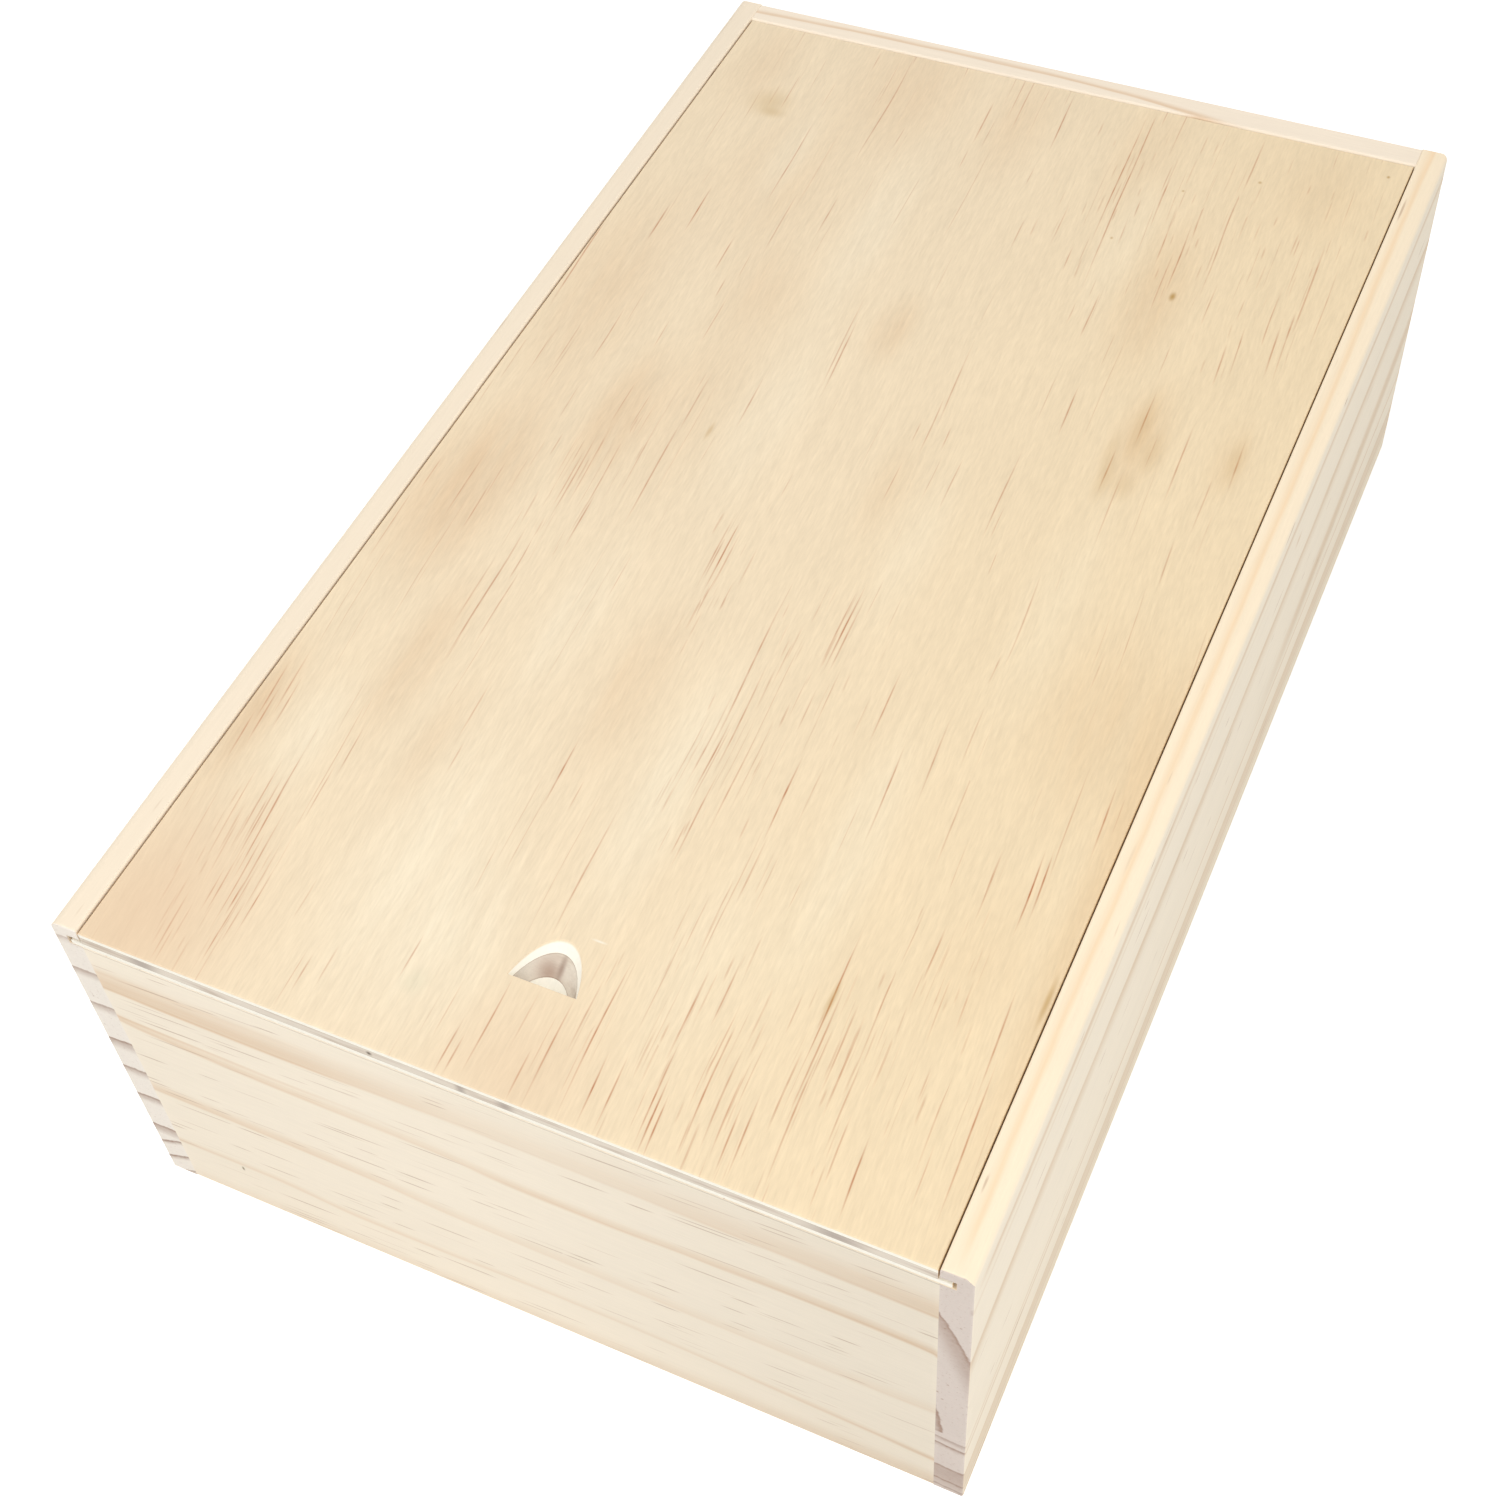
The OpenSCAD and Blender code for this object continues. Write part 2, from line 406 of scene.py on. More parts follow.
def front_growth(g, x, y, z, fray, warp):
    """The front board's growth lines, with the pith above. A line is (band, points), and its
    points are (x, down, strength)."""
    lines = (
        (12.0, ((-98, 22.3, 1.1), (-60, 22.6, 1.0), (-25, 21.3, 0.6), (10, 20.6, 0.4),
                (45, 20.8, 0.5), (98, 21.8, 0.9))),
        (2.4, ((-98, 15.6, 0.25), (-60, 15.2, 0.2), (-25, 15.0, 0.0), (98, 15.0, 0.0))),
        (1.4, ((-98, 34.2, 0.6), (-60, 34.6, 0.5), (-35, 34.4, 0.2), (0, 35.0, 0.0),
               (98, 34.0, 0.0))),
        (5.0, ((-98, 36.0, 0.8), (-60, 38.4, 0.7), (-20, 38.8, 0.5), (10, 40.8, 0.7),
               (45, 39.4, 0.7), (80, 38.4, 0.9), (98, 40.0, 1.0))),
        (6.0, ((-98, 66.7, 0.8), (-45, 67.3, 0.6), (-10, 69.5, 0.4), (50, 69.8, 0.35),
               (98, 68.6, 0.4))),
        (3.2, ((-98, 91.4, 0.7), (-72, 90.9, 0.5), (-45, 92.9, 0.5), (15, 91.0, 0.4),
               (60, 92.5, 0.6), (98, 95.0, 0.9))),
        (9.0, ((-98, 112.0, 0.5), (0, 110.5, 0.5), (98, 108.5, 0.7))),
    )
    # The lines rise on their way through the board.
    down = TOP - z + (y - FRONT) * 0.3
    rings = []
    for band, points in lines:
        path = g.curve(x, [(at, depth) for at, depth, _ in points])
        strength = g.curve(x, [(at, much) for at, _, much in points])
        rings.append((path, band, strength))
    return late_wood(g, down, rings, fray, 0.9)


def front_canals(g, x, y, z):
    """The share of cells with a resin line, which lie in rows: (down, share) points."""
    rows = ((0, 0.15), (9, 0.2), (11, 0.5), (14, 0.2), (22, 0.1), (26.5, 0.85), (28.5, 0.2),
            (30.8, 0.75), (33, 0.12), (43, 0.1), (50, 0.5), (63, 0.55), (68, 0.15), (76, 0.4),
            (86, 0.45), (92, 0.12), (99, 0.4), (109, 0.3))
    return g.curve(TOP - z, rows)


def front_painted_shade(g, x, y, z):
    """Painted shade: the front board is a little darker towards its right end, where the light falls
    off, and a painted shadow line runs along its upper edge, under the lid.
    """
    # A painted shadow line under the lid, on the board's upright face only
    edge = g.step(z, high("front_board").z - 0.6, high("front_board").z - 0.2, -0.32)
    return g.step(x, -20.0, 100.0, -0.11) + edge * (1.0 - g.top())


def front_marks(g, x, y, z):
    """One small dark speck."""
    return g.spot(g.vector(x, z, 0.0), (-80.0, 16.6), (0.55, 1.4), 0.95)


def settled(g, y, warp):
    """The warp of the growth lines, none at the front end, where the lines are known."""
    return warp * g.step(y, -177.0, -100.0)


def left_upper_growth(g, x, y, z, fray, warp):
    """Lines square to the board's face, with the pith far below."""
    rings = ((104.6, 3.5, 0.5), (91.8, 4, 0.8), (77.6, 4.5, 0.8), (62.3, 5.5, 1.0), (49.6, 4.5, 0.9),
             (36.9, 4.5, 1.0), (22.0, 6, 1.0))
    return late_wood(g, z - (x + RIGHT) * 0.06 + settled(g, y, warp), rings, fray)


def left_lower_growth(g, x, y, z, fray, warp):
    """Lines that slant through the thickness."""
    rings = ((13.4, 2.5, 1.0), (5.6, 2.5, 1.0), (-1.6, 4, 0.8))
    return late_wood(g, z - (x + RIGHT) * 0.5 + settled(g, y, warp), rings, fray)


def right_upper_growth(g, x, y, z, fray, warp):
    """Arcs round a pith far inside the box, tilted so that the line on the face climbs."""
    pith_x, pith_z = -73.3, 15.7
    rings = ((173.7, 3.5, 1.0), (187.1, 3.0, 0.8))
    end_rings = ((187.1, 6.5, 0.95),)
    outer = ((198.2, 2.4, 0.9),)
    climb = g.curve(y, ((-178, 0), (-110, 3.4), (-60, 2.6), (0, 3.6), (90, 6.2), (178, 9.4)))
    up = z - climb * g.step(z, 104.0, 84.0) - pith_z
    radius = g.math("SQRT", (x - pith_x) * (x - pith_x) + up * up)
    top_line = late_wood(g, radius + warp * 0.3, outer, fray, 0.6) * g.step(y, -178.0, -165.0)
    on_end = late_wood(g, radius, end_rings, fray) * g.step(y, FRONT + 0.5, FRONT + 0.1)
    late = g.math("MAXIMUM", late_wood(g, radius, rings, fray), on_end) + top_line
    band, smudge, streaks = right_face_marks(g, x, y, z)
    return g.math("MAXIMUM", g.math("MAXIMUM", late, band), smudge) + streaks


def right_face_marks(g, x, y, z):
    """Late wood off the rings of the right board: a soft band that climbs along the back half
    of the face, a smudge, and streaks below the rounded edge."""
    centre = g.curve(y, ((20, 36), (60, 40), (110, 44), (150, 48), (178, 52)))
    band = g.step(abs(z - centre), 8.0, 1.0) * g.step(y, 20.0, 80.0) * 0.75
    smudge = g.spot(g.vector(y, z, 0.0), (43, 91), (4.0, 2.0), 0.8)
    face = g.step(x, RIGHT - 1.0, RIGHT - 0.2)
    streaks = g.step(abs(z - 95.5), 1.6, 0.2) * g.step(y, 60.0, -60.0) * face * 0.3
    return band, smudge, streaks


def right_lower_growth(g, x, y, z, fray, warp):
    """Lines that climb towards the back, above a broad brown band."""
    climb = g.curve(y, ((-178, 0), (-130, 2.4), (-60, 4.4), (0, 5.8), (178, 6.2)))
    rings = ((28.6, 2.5, 0.7), (25.2, 2.5, 0.9), (12.8, 17, 0.9), (5.2, 1.5, 0.6), (1.6, 1.2, 0.6))
    return late_wood(g, z - climb + (x - RIGHT) * 0.1, rings, fray)


def back_growth(g, x, y, z, fray, warp):
    """Rings round a pith far behind the box, so that one line runs along the board's top."""
    line_y = g.curve(x, ((-98, 173.4), (-30, 174.2), (10, 173.2), (32, 171.0), (50, 168.5), (98, 162)))
    pith_z = 38.0
    off = y - line_y - 76.5
    up = z - pith_z
    radius = g.math("SQRT", off * off + up * up)
    rings = ((104.2, 1.8, 1.0), (91.7, 5.0, 0.8), (79.2, 5.0, 0.8), (67.0, 5.0, 0.8))
    return late_wood(g, radius + warp * g.step(z, 106.0, 90.0), rings, fray)


def paint_boards():
    """Each board and stave gets its own growth lines, as the photo shows them."""
    boards = (
        ("left_side_upper_board", LENGTHWAYS, left_upper_growth, 3.0, LEFT_WOOD, FEW_LINES),
        ("left_side_lower_board", LENGTHWAYS, left_lower_growth, 14.0, LEFT_WOOD, FEW_LINES),
        ("right_side_upper_board", LENGTHWAYS, right_upper_growth, 25.0, RIGHT_WOOD, FEW_LINES),
        ("right_side_lower_board", LENGTHWAYS, right_lower_growth, 36.0, RIGHT_WOOD, FEW_LINES),
        ("front_board", CROSSWAYS, front_growth, 47.0, FRONT_WOOD, front_canals,
         front_marks, front_painted_shade),
        ("back_board", CROSSWAYS, back_growth, 58.0, BACK_WOOD, SOME_LINES),
    )
    for node, *looks in boards:
        dress(node, pine("pine_" + node, node, *looks))


def dress(node, material):
    """Gives a CAD node its material."""
    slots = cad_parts[node].data.materials
    slots.clear()
    slots.append(material)


# ---- Plywood ----

SHOW = rgb(242, 222, 190)
FRESH = rgb(253, 248, 234)
# Painted warm shade for the plies' side edges, in the gaps beside the side boards
GAP_SHADE_TAN = rgb(236, 202, 158)
CORE_GAP_SHADE_TAN = rgb(200, 168, 134)
CORE_PALE = rgb(229, 218, 202)
CORE_GREY = rgb(188, 166, 146)
GLUE = rgb(150, 122, 96)
NOTCH_BROWN = rgb(168, 136, 118)
NOTCH_DARK = rgb(140, 108, 92)
PATCH_GREY = rgb(150, 136, 130)
CORE_SPECK = rgb(92, 76, 58)
BACK_VENEER = rgb(248, 238, 219)
TAN = rgb(222, 189, 150)
PALE = rgb(248, 235, 208)
YELLOW = rgb(240, 215, 170)
PINK = rgb(230, 198, 164)
OLIVE = rgb(186, 146, 78)
OLIVE_PALE = rgb(214, 186, 140)
SCRATCH = rgb(253, 244, 224)
SMUDGE = rgb(205, 208, 180)
LINE_RED = rgb(178, 94, 40)

# How far a veneer's grain leans across the panel, for each millimetre along it
LEAN = 0.05

# From here outwards, over a short blend, a face across X is a panel's side edge, which gets a painted
# warm shade
SIDE_EDGE = (95.0, 96.5)

# How much of its colour each cloud and resin line brings
TAN_SHARE, PALE_SHARE, LINE_SHADE = 0.6, 0.66, 0.7

# How much lighter or darker a veneer gets from place to place, and how much paler near its edges from
# wear and a painted highlight
VENEER_CLOUD, VENEER_FLAME, VENEER_STREAK, VENEER_FIBRE = 0.018, 0.03, 0.038, 0.055
VENEER_WEAR_AND_HIGHLIGHT = 0.03
VENEER_ROUGHNESS, CORE_ROUGHNESS = 0.58, 0.68
VENEER_RELIEF, CORE_RELIEF = 0.03, 0.05

# Soft clouds on the lid's show face: (x, y, half width, half length, strength). The long one at x 96.5
# is painted shade along the right edge, beside the side board.
TAN_CLOUDS = (
    (-85, -32, 20, 44, 0.9), (-60, 5, 12, 38, 0.8), (-95, -112, 9, 34, 0.9),
    (-68, -82, 10, 38, 0.6), (-52, -106, 8, 28, 0.4), (-18, -72, 12, 38, 0.5), (12, 8, 8, 26, 0.4),
    (50, 95, 13, 44, 0.8), (63, 44, 10, 28, 1.0), (85, 45, 7, 20, 0.6), (85, -42, 24, 42, 0.8),
    (-8, 60, 8, 20, 0.6), (30, 150, 14, 38, 0.4), (-8, 150, 14, 38, 0.4), (-45, 20, 18, 60, 0.3),
    (80, 150, 16, 28, 0.35), (82, -112, 18, 30, 0.35), (-45, 62, 16, 26, 0.35),
    (-85, 150, 14, 30, 0.35), (96.5, -90, 7, 110, 0.9), (70, 150, 30, 40, 0.15),
    (-42, 155, 26, 44, 0.5), (-84, 50, 24, 60, 0.5), (-60, 100, 30, 50, 0.3),
    (-80, -5, 16, 40, 0.25),
)
PALE_CLOUDS = (
    (-40, -135, 22, 58, 0.75), (-22, -150, 20, 38, 0.7), (2, -95, 12, 55, 0.8),
    (46, -100, 12, 55, 0.9), (62, -15, 12, 50, 0.6), (25, -10, 10, 40, 0.5), (-28, 95, 11, 55, 0.5),
    (-62, 115, 8, 30, 0.5), (35, 115, 9, 44, 0.5), (-72, 70, 16, 42, 0.15), (-25, 20, 14, 50, 0.4),
    (-80, -112, 10, 26, 0.6), (30, -130, 16, 40, 0.5), (-40, -60, 12, 40, 0.5),
)

# How much resin lines crowd on the lid, and where: (x, y, half width, half length)
CROWDING = 0.8
LINE_CROWDS = (
    (34, -150, 42, 60), (72, -140, 26, 60), (-78, -150, 16, 50), (14, -70, 24, 60),
    (34, 130, 34, 60), (76, 120, 26, 60), (-14, -30, 12, 40), (-62, -20, 18, 40),
)

# The boldest lines on the lid: (x, y, half length, strength). In the ten rows from
# (-85, -167.6) to (-72.7, -168.1), the places and most of the half lengths are what a
# calculation gave, from given line ends.
BOLD_LINES = (
    (-61, -17, 15, 0.6), (-53, -30, 10, 0.6), (-18, -27, 12, 0.5), (-16, -28, 12, 0.8),
    (-14.5, -30, 10, 0.5), (18.5, -38, 12, 0.6), (19.8, -38, 14, 0.8), (21.2, -40, 12, 0.6),
    (37, -56, 11, 0.6), (-21.5, -100, 10, 0.7), (53, -66, 12, 0.5), (57, -22, 14, 0.4),
    (84, -91, 11, 1.0), (92.5, -68, 10, 0.7), (56.5, -130, 16, 1.0), (58.5, -142, 16, 0.7),
    (76, -166, 9, 1.0), (90.5, -127, 13, 0.7), (-80, -137, 13, 0.7), (-76, -152, 14, 0.6),
    (-73, -160, 14, 0.6), (26.5, -88, 12, 0.8), (28, -108, 9, 0.5), (46, -78, 14, 0.6),
    (33, -164, 12, 0.8), (36, -138, 8, 0.7), (42, -160, 15, 0.8), (20.5, -168, 8, 0.8),
    (-29, -155, 6, 0.6), (-4.6, -122, 18, 0.6), (85.6, -88, 9, 0.9), (-45, 145, 26, 0.6),
    (3, 155, 13, 0.8), (26, 138, 28, 0.8), (29, 128, 36, 0.7), (51, 112, 14, 0.7),
    (-41.5, 96, 9, 0.5), (-76, 86, 10, 0.5), (-17, 46, 14, 0.7), (14, 46, 16, 0.5),
    (43, 48, 9, 0.8), (62, 52, 10, 0.7), (59, 32, 8, 0.8), (87, 44, 9, 0.6), (-31.5, 22, 10, 0.5),
    (38, 15, 16, 0.6), (-11, -171, 7, 0.7), (-9, -172, 5, 0.7), (-6, -163, 12, 0.8),
    (0.5, -159, 7, 0.4), (5.5, -171, 6, 0.8), (8.5, -164, 13, 0.9), (15.5, -158, 18, 0.7),
    (24.5, -168, 9, 0.7), (34.5, -169, 9, 1.0), (36, -171, 7, 0.9), (45.5, -160, 12, 0.6),
    (48, -163, 10, 0.6), (50.5, -168, 8, 0.7), (53, -166, 10, 0.7), (60, -158, 17, 0.6),
    (93, -150, 18, 0.8), (14.5, -88, 14, 0.6), (7, -84, 12, 0.7), (11, -100, 14, 0.6),
    (-82.5, -133, 12, 0.6), (-78, -140, 14, 0.7), (-74.5, -146, 14, 0.6), (-79, -125, 10, 0.6),
    (-84, -146, 10, 0.4), (-71, -150, 10, 0.4), (-95.5, -104, 9, 0.6), (-94, -111, 9, 0.6),
    (-92.5, -100, 10, 0.5), (-90.5, -106, 8, 0.5), (-96, -118, 7, 0.6), (-66, -60, 12, 0.4),
    (-58.5, -62, 13, 0.5), (-48, -92, 10, 0.4),
    (-85, -167.6, 9.5, 0.8), (-83.6, -172, 4.7, 0.6), (-79.2, -155, 7.8, 0.7),
    (-74.2, -156.6, 4.5, 0.9), (-69, -155.7, 9.3, 0.7), (-80.6, -156.4, 5.9, 0.6),
    (-58, -150.8, 5.5, 0.4), (-47.8, -167, 5, 0.5), (-43.8, -163.4, 5, 0.5),
    (-72.7, -168.1, 4.7, 0.5), (-71, -162, 6, 0.5), (-87.5, -165, 6, 0.4),
)

# The bold lines' half width, and the factors on their lengths and strengths in the table, which
# make up for a soft spot's fading towards its rim
BOLD_HALF_WIDTH, BOLD_LENGTH, BOLD_STRENGTH = 0.33, 1.2, 1.35

# Small marks on the lid: (x, y, half width, half length, strength)
SPECKS = (
    (54, 97, 1.3, 2.6, 0.9), (92.5, 163, 0.7, 0.9, 0.8), (61.5, 149, 0.8, 0.9, 0.6),
    (43.5, 138.5, 0.6, 0.7, 0.6), (32, 113.5, 0.6, 0.8, 0.6), (-36.5, 9, 1.0, 4.5, 0.4),
    (62, 50, 3.4, 17.0, 0.2), (67, 41, 4.5, 11.0, 0.18), (59, 29, 3.0, 11.0, 0.24),
    (86.5, 45, 3.2, 13.0, 0.2), (57.5, 38, 2.6, 10.0, 0.16), (64, 28, 4.5, 7.0, 0.16),
    (96.4, -115, 1.0, 9.0, 0.6), (56.2, -131, 1.2, 7.0, 0.45),
)

# The pale shadow of a knot under the veneer, in the same form
KNOT_SHADOWS = ((-76.5, 135.5, 9.0, 9.0, 0.5), (-74, 131.5, 5.5, 3.0, 0.35))

# Stains and a scratch on the lid: (colour, place, half width and length, strength)
STAINS = (
    (PINK, (-88.0, -168.0), (34.0, 50.0), 0.6),
    (PINK, (4.0, -172.0), (26.0, 30.0), 0.35),
    (SMUDGE, (-25.0, -160.0), (4.5, 5.0), 0.2),
    (SCRATCH, (6.2, -136.6), (2.6, 0.45), 0.9),
)

# Dark patches on the front edge of the lid's core: (x, half width)
EDGE_PATCHES = ((-82.0, 6.0), (-5.0, 1.8), (5.2, 3.0), (77.0, 9.0))


def spots(g, place, listed):
    """The sum of soft spots listed as (x, y, half width, half length, strength)."""
    total = 0.0
    for x, y, wide, long, strength in listed:
        total = g.spot(place, (x, y), (wide, long), strength) + total
    return total


def lid_figure(g, place, leaned):
    """The lid's clouds and resin lines as (tan, pale, lines)."""
    tan = spots(g, place, TAN_CLOUDS)
    pale = spots(g, place, PALE_CLOUDS)
    crowd = spots(g, place, [(*area, CROWDING) for area in LINE_CROWDS])
    bold = [
        (x + y * LEAN, y, BOLD_HALF_WIDTH, half * BOLD_LENGTH, strength * BOLD_STRENGTH)
        for x, y, half, strength in BOLD_LINES
    ]
    patchy = g.noise(leaned, (1.2, 4.0, 3.0), 43.0, 1.0) * 0.35 + 0.85
    small = g.tubes(leaned, (2.8, 60.0), 0.24, 60.0, crowd * 0.5 + 0.2, 41.0)
    fine = g.tubes(leaned, (1.5, 34.0), 0.2, 34.0, crowd * 0.5 + 0.12, 47.0)
    short = g.tubes(leaned, (1.7, 16.0), 0.26, 19.0, crowd * 0.7, 53.0)
    lines = spots(g, leaned, bold) + small * 0.75 + fine * 0.5 + short * 0.4
    return tan, pale, lines * patchy


def lid_marks(g, place, colour):
    """Small marks on the lid's face."""
    colour = g.mix(colour, OLIVE, spots(g, place, SPECKS))
    colour = g.mix(colour, OLIVE_PALE, spots(g, place, KNOT_SHADOWS))
    for stain, centre, radii, strength in STAINS:
        colour = g.mix(colour, stain, g.spot(place, centre, radii, strength))
    return colour


def plain_figure(g, cloud, leaned, seed):
    """Clouds and resin lines, as (tan, pale, lines), for the faces that the photo doesn't show."""
    tan = g.step(cloud, 0.1, 0.9)
    pale = g.step(cloud, -0.1, -0.9)
    return tan, pale, g.tubes(leaned, (2.6, 40.0), 0.25, 40.0, 0.35, seed)


def grain_place(g, x, y, z, sway):
    """The place with X measured across the grain, which leans, sways and fans out at the left
    of the front."""
    fan = g.step(x, -45.0, -85.0, -6.0) * g.step(y, -70.0, -200.0)
    return g.vector(x + y * LEAN + sway + fan, y, z)


def veneer(name, node, face_z, seed, show, figure=None):
    """A veneer with its grain along Y. Its show face is at face_z, yellower to the right. Wood
    cut through behind that face is paler, and tan with painted warm shade on the side edges, which sit
    in the gaps beside the side boards."""
    g = Graph(name)
    place = g.place()
    x, y, z = g.parts(place)
    leaned = grain_place(g, x, y, z, g.noise(place, (36.0, 60.0, 40.0), seed + 7.0, 1.0) * 0.9)
    cloud = g.noise(leaned, (15.0, 55.0, 30.0), seed + 1.0, 2.0)
    flame = g.noise(leaned, (3.2, 34.0, 20.0), seed + 2.0, 2.0)
    streak = g.noise(leaned, (0.9, 16.0, 5.0), seed + 3.0, 2.0)
    fibre = g.noise(leaned, (0.5, 3.6, 0.4), seed + 4.0, 1.0)
    if figure:
        tan, pale, lines = figure(g, place, leaned)
    else:
        tan, pale, lines = plain_figure(g, cloud, leaned, seed + 6.0)
    ragged = flame * 0.45 + 1.0
    colour = g.mix(show, TAN, tan * ragged * TAN_SHARE)
    colour = g.mix(colour, PALE, pale * ragged * PALE_SHARE)
    colour = g.mix(colour, YELLOW, g.step(x, -30.0, 95.0, 0.42))
    shade = cloud * VENEER_CLOUD + flame * VENEER_FLAME
    shade = shade + streak * VENEER_STREAK + fibre * VENEER_FIBRE
    # Paler wear and a painted highlight near the edges
    colour = g.tone(colour, shade + g.wear_and_highlight(node) * VENEER_WEAR_AND_HIGHLIGHT + 1.0)
    colour = g.mix(colour, LINE_RED, lines * LINE_SHADE)
    if figure:
        colour = lid_marks(g, place, colour)
    behind = g.step(abs(z - face_z), 0.1, 0.4)
    # Painted warm shade on the side edges, which sit in the gaps beside the side boards
    cut = g.mix(FRESH, GAP_SHADE_TAN, g.step(abs(x), *SIDE_EDGE) * g.facing(CROSSWAYS))
    colour = g.mix(colour, g.tone(cut, streak * 0.02 + fibre * 0.03 + 1.0), behind)
    roughness = fibre * 0.05 + streak * 0.03 + VENEER_ROUGHNESS
    height = fibre * 0.3 + streak * 0.2
    return g.surface(colour, roughness, height, VENEER_RELIEF)


def lid_core_marks(g, place, colour, middle_z):
    """Dark wood in the thumb notch, and patches and a speck on the core's front edge."""
    x, y, z = g.parts(place)
    colour = g.mix(colour, NOTCH_BROWN, g.spot(place, (-1.5, -145.5), (4.5, 4.5), 0.75))
    colour = g.mix(colour, NOTCH_DARK, g.spot(place, (0.8, -144.0), (1.2, 4.5), 0.6))
    front_edge = g.step(y, FRONT + 4.0, FRONT + 1.0)
    patches = [(at, 0.0, half, 1.0, 0.55) for at, half in EDGE_PATCHES]
    dark = spots(g, g.vector(x, 0.0, 0.0), patches)
    colour = g.mix(colour, PATCH_GREY, dark * front_edge)
    speck_x = -26.3
    speck = g.spot(g.vector(x, z, 0.0), (speck_x, middle_z), (1.0, 1.0), 0.9)
    return g.mix(colour, CORE_SPECK, speck * front_edge)


def core(name, node, seed):
    """The cross-banded core: its grain runs along X, and its edges show it grey-brown, with a
    darker line of glue above and below."""
    g = Graph(name)
    place = g.place()
    x, y, z = g.parts(place)
    patch = g.noise(place, (15.0, 3.0, 1.6), seed + 1.0, 2.0)
    streak = g.noise(place, (9.0, 0.5, 0.35), seed + 2.0, 2.0)
    fibre = g.noise(place, (2.5, 0.2, 0.2), seed + 3.0, 1.0)
    end = g.facing(CROSSWAYS)
    colour = g.mix(CORE_PALE, CORE_GREY, g.step(patch, -0.2, 1.2))
    colour = g.tone(colour, streak * 0.05 + fibre * 0.03 + 1.0)
    colour = g.mix(colour, g.tone(colour, 0.85), end)
    # Painted warm shade on the core's side edges, in the gaps beside the side boards
    colour = g.mix(colour, CORE_GAP_SHADE_TAN, g.step(abs(x), *SIDE_EDGE) * end)
    glue = g.step(abs(z - low(node).z), 0.16, 0.05) + g.step(abs(z - high(node).z), 0.16, 0.05)
    colour = g.mix(colour, GLUE, glue * 0.4)
    if node == "lid_core_ply":
        colour = lid_core_marks(g, place, colour, (low(node).z + high(node).z) / 2)
    height = streak * 0.4 + fibre * 0.4
    return g.surface(colour, fibre * 0.05 + CORE_ROUGHNESS, height, CORE_RELIEF)


def paint_plywood():
    """The lid's and the base's three plies: show veneer, core and back veneer."""
    faces = (
        ("veneer_lid_face", "lid_top_ply", high("lid_top_ply").z, 5.0, SHOW, lid_figure),
        ("veneer_lid_back", "lid_bottom_ply", low("lid_bottom_ply").z, 31.0, BACK_VENEER),
        ("veneer_base_face", "base_top_ply", high("base_top_ply").z, 51.0, SHOW),
        ("veneer_base_back", "base_bottom_ply", low("base_bottom_ply").z, 71.0, BACK_VENEER),
    )
    for name, node, *looks in faces:
        dress(node, veneer(name, node, *looks))
    dress("lid_core_ply", core("core_lid", "lid_core_ply", 21.0))
    dress("base_core_ply", core("core_base", "base_core_ply", 61.0))


# ---- Camera, light and floor ----

WHITE = (1.0, 1.0, 1.0, 1.0)
FLOOR_GREY = (0.8, 0.8, 0.8, 1.0)

# The strength of the room's light, and of the light that the floor shows to the camera alone
SKY = 0.7
FLOOR_GLOW = 0.32

# Half the width of the floor, in metres
FLOOR_REACH = 4.0

# Soft square lamps: (name, place, target, width, power), in metres and watts
LAMPS = (
    ("top_lamp", (0.0, -0.5, 1.2), (0.0, -0.15, 0.1), 0.7, 3.4),
    ("front_lamp", (-0.6, -0.75, 0.5), (0.0, -0.1, 0.06), 0.5, 1.1),
    ("right_lamp", (0.75, -0.5, 0.45), (0.1, -0.05, 0.06), 0.5, 1.8),
)


def aim_camera():
    """The photo's camera, in the frame of the box."""
    spot = (162.1, -355.8, 508.6)
    azimuth, elevation, roll = 28.895, 51.39, -5.322
    sensor, lens = 36.0, 55.34
    photo_width = 1500.0
    axis_x, axis_y = 728.0, 732.5
    a, e = math.radians(azimuth), math.radians(elevation)
    back = Vector((math.sin(a) * math.cos(e), -math.cos(a) * math.cos(e), math.sin(e)))
    turn = (-back).to_track_quat("-Z", "Y").to_matrix() @ Matrix.Rotation(math.radians(roll), 3, "Z")
    data = bpy.data.cameras.new("camera")
    data.sensor_width = sensor
    data.lens = lens
    data.shift_x = (photo_width / 2 - axis_x) / photo_width
    data.shift_y = (axis_y - photo_width / 2) / photo_width
    data.clip_start, data.clip_end = 0.02, 50.0
    camera = bpy.data.objects.new("camera", data)
    camera.matrix_world = Matrix.Translation(Vector(spot) * MM) @ turn.to_4x4()
    bpy.context.scene.collection.objects.link(camera)
    bpy.context.scene.camera = camera


def add_lamp(name, place, target, size, power):
    """One lamp, pointed at its target."""
    data = bpy.data.lights.new(name, "AREA")
    data.shape = "SQUARE"
    data.size = size
    data.energy = power
    lamp = bpy.data.objects.new(name, data)
    aim = (Vector(target) - Vector(place)).to_track_quat("-Z", "Y")
    lamp.matrix_world = Matrix.Translation(place) @ aim.to_matrix().to_4x4()
    bpy.context.scene.collection.objects.link(lamp)


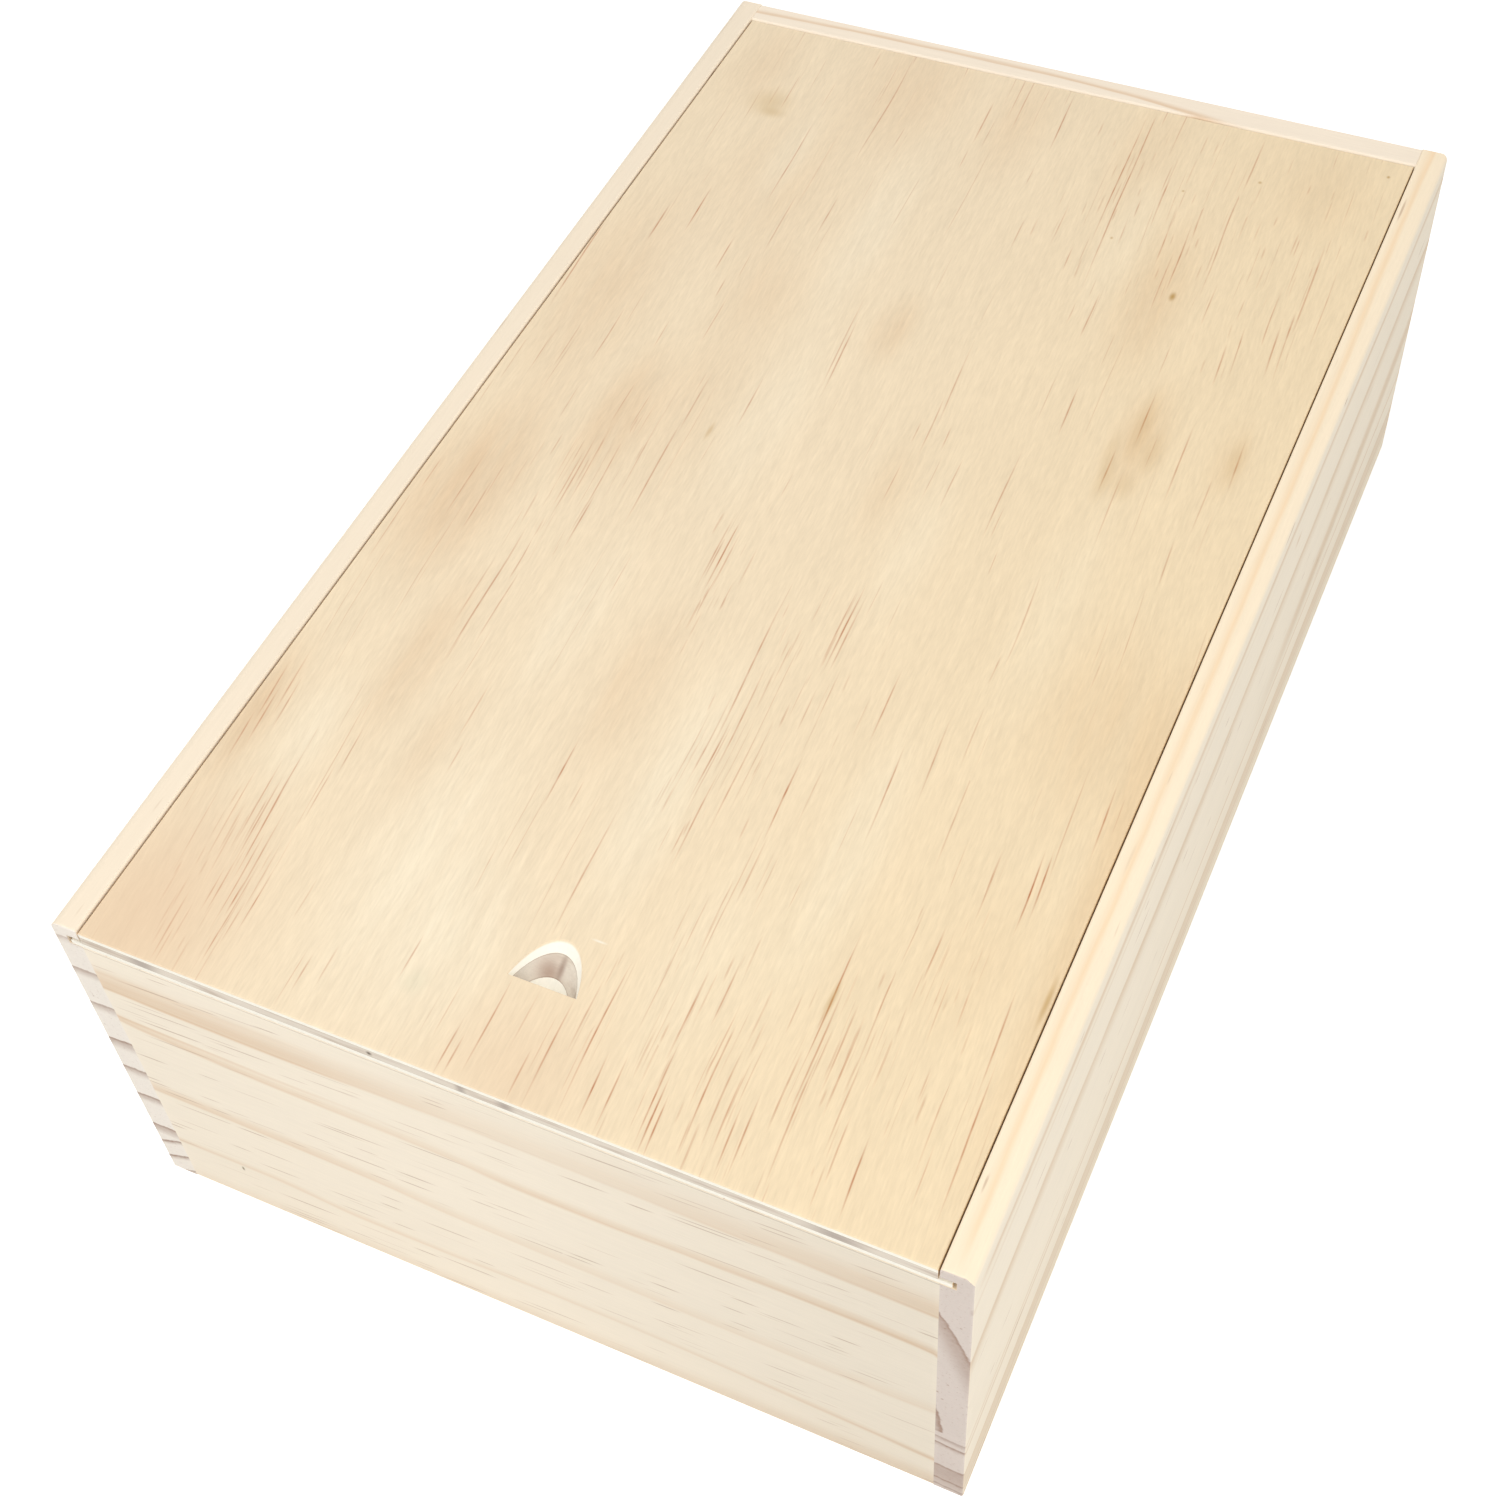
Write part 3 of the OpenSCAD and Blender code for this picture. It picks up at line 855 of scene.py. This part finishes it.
def light_room(sky):
    """An even white room with this strength of light, which shows as pure white behind the box
    and in what it reflects."""
    world = bpy.data.worlds.new("room")
    world.use_nodes = True
    bpy.context.scene.world = world
    tree = world.node_tree
    shown = tree.nodes["Background"]
    lit = tree.nodes.new("ShaderNodeBackground")
    lit.inputs["Strength"].default_value = sky
    path = tree.nodes.new("ShaderNodeLightPath")
    seen = tree.nodes.new("ShaderNodeMath")
    seen.operation = "MAXIMUM"
    seen.use_clamp = True
    mix = tree.nodes.new("ShaderNodeMixShader")
    for background in (shown, lit):
        background.inputs["Color"].default_value = WHITE
    shown.inputs["Strength"].default_value = 1.0
    tree.links.new(path.outputs["Is Camera Ray"], seen.inputs[0])
    tree.links.new(path.outputs["Is Glossy Ray"], seen.inputs[1])
    tree.links.new(seen.outputs[0], mix.inputs["Fac"])
    tree.links.new(lit.outputs[0], mix.inputs[1])
    tree.links.new(shown.outputs[0], mix.inputs[2])
    tree.links.new(mix.outputs[0], tree.nodes["World Output"].inputs["Surface"])


def lay_floor(half_width):
    """A plain white floor that keeps the box's shadow."""
    mesh = bpy.data.meshes.new("floor")
    corners = [(-half_width, -half_width, 0), (half_width, -half_width, 0)]
    corners += [(half_width, half_width, 0), (-half_width, half_width, 0)]
    mesh.from_pydata(corners, [], [(0, 1, 2, 3)])
    floor = bpy.data.objects.new("floor", mesh)
    bpy.context.scene.collection.objects.link(floor)
    g = Graph("floor_paper")
    path = g.node("LightPath")
    seen = Field(g, path.outputs["Is Camera Ray"])
    colour = g.mix(FLOOR_GREY, WHITE, seen)
    shader = g.node("BsdfDiffuse", {"Color": colour})
    glow = g.node("Emission", {"Strength": seen * FLOOR_GLOW})
    both = g.node("AddShader")
    g.tree.links.new(shader.outputs[0], both.inputs[0])
    g.tree.links.new(glow.outputs[0], both.inputs[1])
    out = g.node("OutputMaterial")
    g.tree.links.new(both.outputs[0], out.inputs["Surface"])
    mesh.materials.append(g.material)


def stage_scene():
    """Light that is level over the box, a little stronger towards its front."""
    light_room(SKY)
    for lamp in LAMPS:
        add_lamp(*lamp)
    lay_floor(FLOOR_REACH)
    bpy.context.scene.view_settings.view_transform = "Standard"


paint_boards()
paint_plywood()
aim_camera()
stage_scene()
